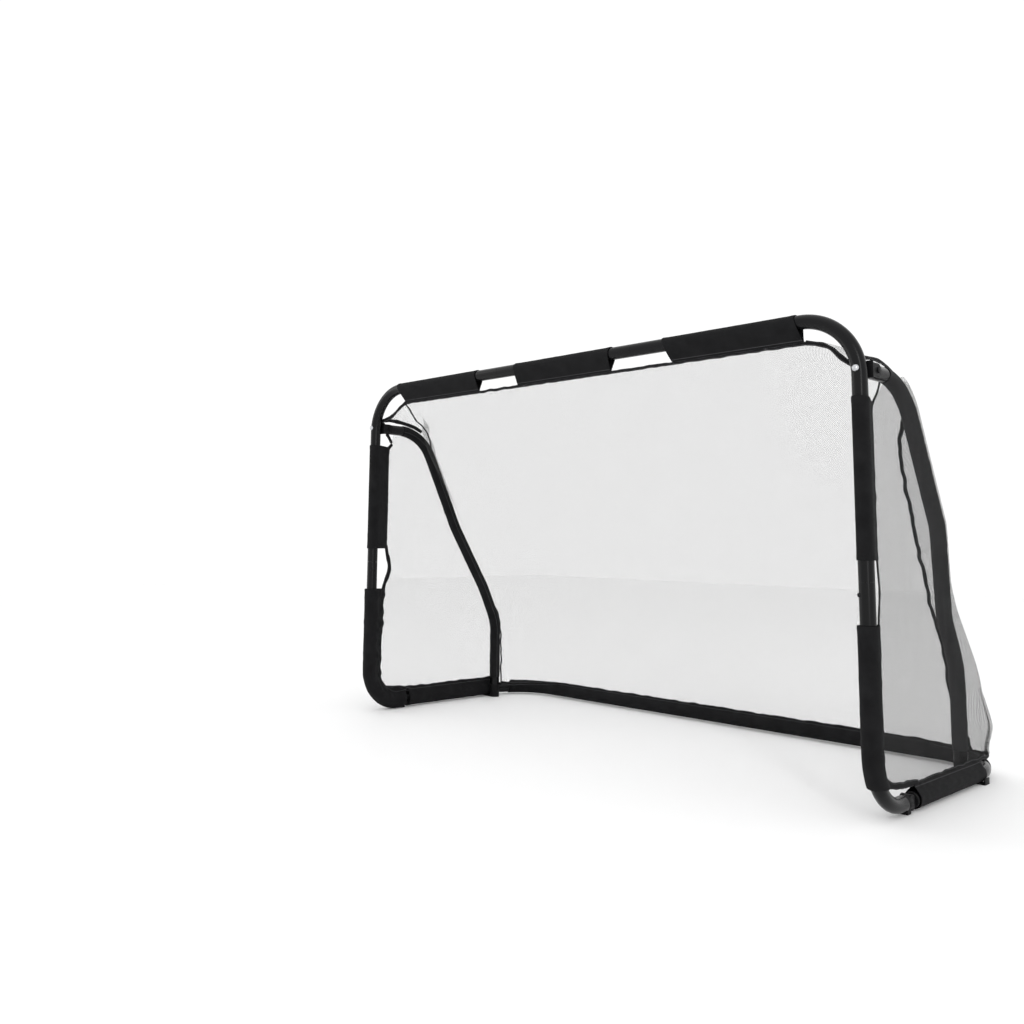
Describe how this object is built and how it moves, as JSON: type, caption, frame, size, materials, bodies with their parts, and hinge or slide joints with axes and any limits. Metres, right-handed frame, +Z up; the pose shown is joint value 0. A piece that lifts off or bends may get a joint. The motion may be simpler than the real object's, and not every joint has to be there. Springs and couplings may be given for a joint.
{
  "type": "folding football goal",
  "caption": "Small folding football goal: bent steel tube frame, hinged ground frame, rear struts, and a mesh net held on the tubes by fabric sleeves.",
  "frame": {"origin": "on the ground, in the middle of the goal's length and depth", "axes": "+X along the crossbar, +Y from the mouth to the back, +Z up"},
  "size_m": [1.311, 0.5598, 0.8011],
  "materials": {
    "black_paint": "gloss black powder coat on steel tube",
    "sleeve_fabric": "woven black polyester",
    "net": "fine black knitted mesh",
    "zinc": "bright zinc plate",
    "black_plastic": "moulded black nylon"
  },
  "bodies": {
    "front_frame": {"crossbar_tube": "black_paint", "centre_crossbar_sleeve": "sleeve_fabric", "back_net": "net", "left_top_corner_tube": "black_paint", "right_top_corner_tube": "black_paint", "left_lower_post_tube": "black_paint", "right_lower_post_tube": "black_paint", "left_hinge_fork": "black_plastic", "right_hinge_fork": "black_plastic", "left_hinge_pin": "black_paint", "right_hinge_pin": "black_paint", "left_strut_bracket": "black_paint", "right_strut_bracket": "black_paint", "left_bracket_bolt": "zinc", "right_bracket_bolt": "zinc", "left_strut_pin": "black_paint", "right_strut_pin": "black_paint", "left_crossbar_sleeve": "sleeve_fabric", "right_crossbar_sleeve": "sleeve_fabric", "left_upper_post_sleeve": "sleeve_fabric", "right_upper_post_sleeve": "sleeve_fabric", "left_lower_post_sleeve": "sleeve_fabric", "right_lower_post_sleeve": "sleeve_fabric", "left_crossbar_spring": "zinc", "right_crossbar_spring": "zinc", "left_post_spring": "zinc", "right_post_spring": "zinc", "left_side_net": "net", "right_side_net": "net"},
    "ground_frame": {"rear_bar_tube": "black_paint", "rear_bar_sleeve": "sleeve_fabric", "left_rail_tube": "black_paint", "right_rail_tube": "black_paint", "left_rail_sleeve": "sleeve_fabric", "right_rail_sleeve": "sleeve_fabric", "left_hinge_tongue": "black_plastic", "right_hinge_tongue": "black_plastic"},
    "left_strut": {"left_strut_tube": "black_paint", "left_strut_sleeve": "sleeve_fabric", "left_strut_foot": "black_plastic"},
    "right_strut": {"right_strut_tube": "black_paint", "right_strut_sleeve": "sleeve_fabric", "right_strut_foot": "black_plastic"},
    "left_bar_button": {"left_crossbar_button": "black_paint"},
    "right_bar_button": {"right_crossbar_button": "black_paint"},
    "left_post_button": {"left_post_button": "black_paint"},
    "right_post_button": {"right_post_button": "black_paint"}
  },
  "joints": [
    {"name": "base_fold", "type": "hinge", "parent": "front_frame", "child": "ground_frame", "pos_m": [0, -0.1501, 0.0165], "axis": [1, 0, 0], "range_deg": [0, 80], "deforming": ["back_net", "left_side_net", "right_side_net"]},
    {"name": "left_strut_fold", "type": "hinge", "parent": "front_frame", "child": "left_strut", "pos_m": [-0.6375, -0.2291, 0.697], "axis": [1, 0, 0], "range_deg": [-30, 0]},
    {"name": "right_strut_fold", "type": "hinge", "parent": "front_frame", "child": "right_strut", "pos_m": [0.6375, -0.2291, 0.697], "axis": [1, 0, 0], "range_deg": [-30, 0]},
    {"name": "left_bar_button_press", "type": "slide", "parent": "front_frame", "child": "left_bar_button", "axis": [0, -1, 0], "range_m": [0, 0.004], "stiffness_N_per_m": 800, "springref_m": -0.003, "deforming": ["left_crossbar_spring"]},
    {"name": "left_post_button_press", "type": "slide", "parent": "front_frame", "child": "left_post_button", "axis": [-0.7071, 0.7071, 0], "range_m": [0, 0.004], "stiffness_N_per_m": 800, "springref_m": -0.003, "deforming": ["left_post_spring"]},
    {"name": "right_bar_button_press", "type": "slide", "parent": "front_frame", "child": "right_bar_button", "axis": [0, -1, 0], "range_m": [0, 0.004], "stiffness_N_per_m": 800, "springref_m": -0.003, "deforming": ["right_crossbar_spring"]},
    {"name": "right_post_button_press", "type": "slide", "parent": "front_frame", "child": "right_post_button", "axis": [0.7071, 0.7071, 0], "range_m": [0, 0.004], "stiffness_N_per_m": 800, "springref_m": -0.003, "deforming": ["right_post_spring"]}
  ],
  "couplings": [
    {"joint": "left_strut_fold", "follows": "base_fold", "ratio": -0.3749},
    {"joint": "right_strut_fold", "follows": "base_fold", "ratio": -0.3749}
  ]
}
